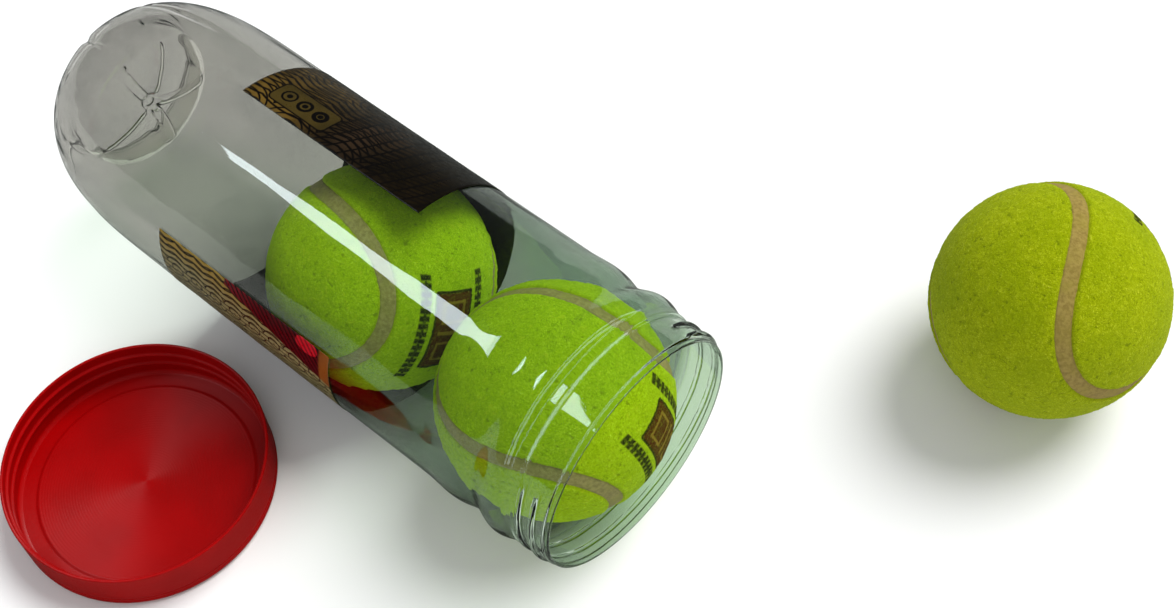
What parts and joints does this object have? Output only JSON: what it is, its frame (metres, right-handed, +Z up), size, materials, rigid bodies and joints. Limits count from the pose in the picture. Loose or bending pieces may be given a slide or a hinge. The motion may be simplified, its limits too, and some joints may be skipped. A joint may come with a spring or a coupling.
{
  "type": "tennis ball can",
  "caption": "Clear plastic tennis ball can lying open on its side, with felt balls inside and one out, a wrapped label film and a red screw cap put down beside it.",
  "frame": {"origin": "centre of the mouth plane, on the can's axis, with the can lying on its side", "axes": "+X out of the mouth along the can's axis, +Z up, floor 38.5 mm below the origin"},
  "size_m": [0.2965, 0.2641, 0.077],
  "materials": {
    "clear_plastic": "clear, slightly smoky grey-green, glossy",
    "label_film": "printed film, dark gold with black net lines",
    "red_plastic": "satin moulded red",
    "rubber_core": "matt",
    "felt": "napped felt, optic yellow-green",
    "seam_cement": "matt grey-tan"
  },
  "bodies": {
    "can": {"can_body": "clear_plastic", "label": "label_film"},
    "cap": {"screw_cap": "red_plastic"},
    "ball_1": {"ball_1_core_half_a": "rubber_core", "ball_1_core_half_b": "rubber_core", "ball_1_felt_panel_a": "felt", "ball_1_felt_panel_b": "felt", "ball_1_seam_cement": "seam_cement"},
    "ball_2": {"ball_2_core_half_a": "rubber_core", "ball_2_core_half_b": "rubber_core", "ball_2_felt_panel_a": "felt", "ball_2_felt_panel_b": "felt", "ball_2_seam_cement": "seam_cement"},
    "ball_3": {"ball_3_core_half_a": "rubber_core", "ball_3_core_half_b": "rubber_core", "ball_3_felt_panel_a": "felt", "ball_3_felt_panel_b": "felt", "ball_3_seam_cement": "seam_cement"}
  },
  "joints": [
    {"name": "cap_carry", "type": "hinge", "parent": "can", "child": "cap", "pos_m": [-0.01387, -0.08162, 0.06737], "axis": [-0.3921, 0.8322, 0.3921], "range_deg": [0, 259.53]},
    {"name": "ball_1_slide", "type": "slide", "parent": "can", "child": "ball_1", "axis": [-1, 0, 0], "range_m": [0, 0.065]},
    {"name": "ball_2_slide", "type": "slide", "parent": "can", "child": "ball_2", "axis": [-1, 0, 0], "range_m": [0, 0.065]},
    {"name": "ball_3_carry", "type": "slide", "parent": "can", "child": "ball_3", "axis": [-0.1518, -0.9872, 0.0488], "range_m": [0, 0.11264]}
  ],
  "couplings": [
    {"joint": "ball_2_slide", "follows": "ball_1_slide", "ratio": 1}
  ]
}
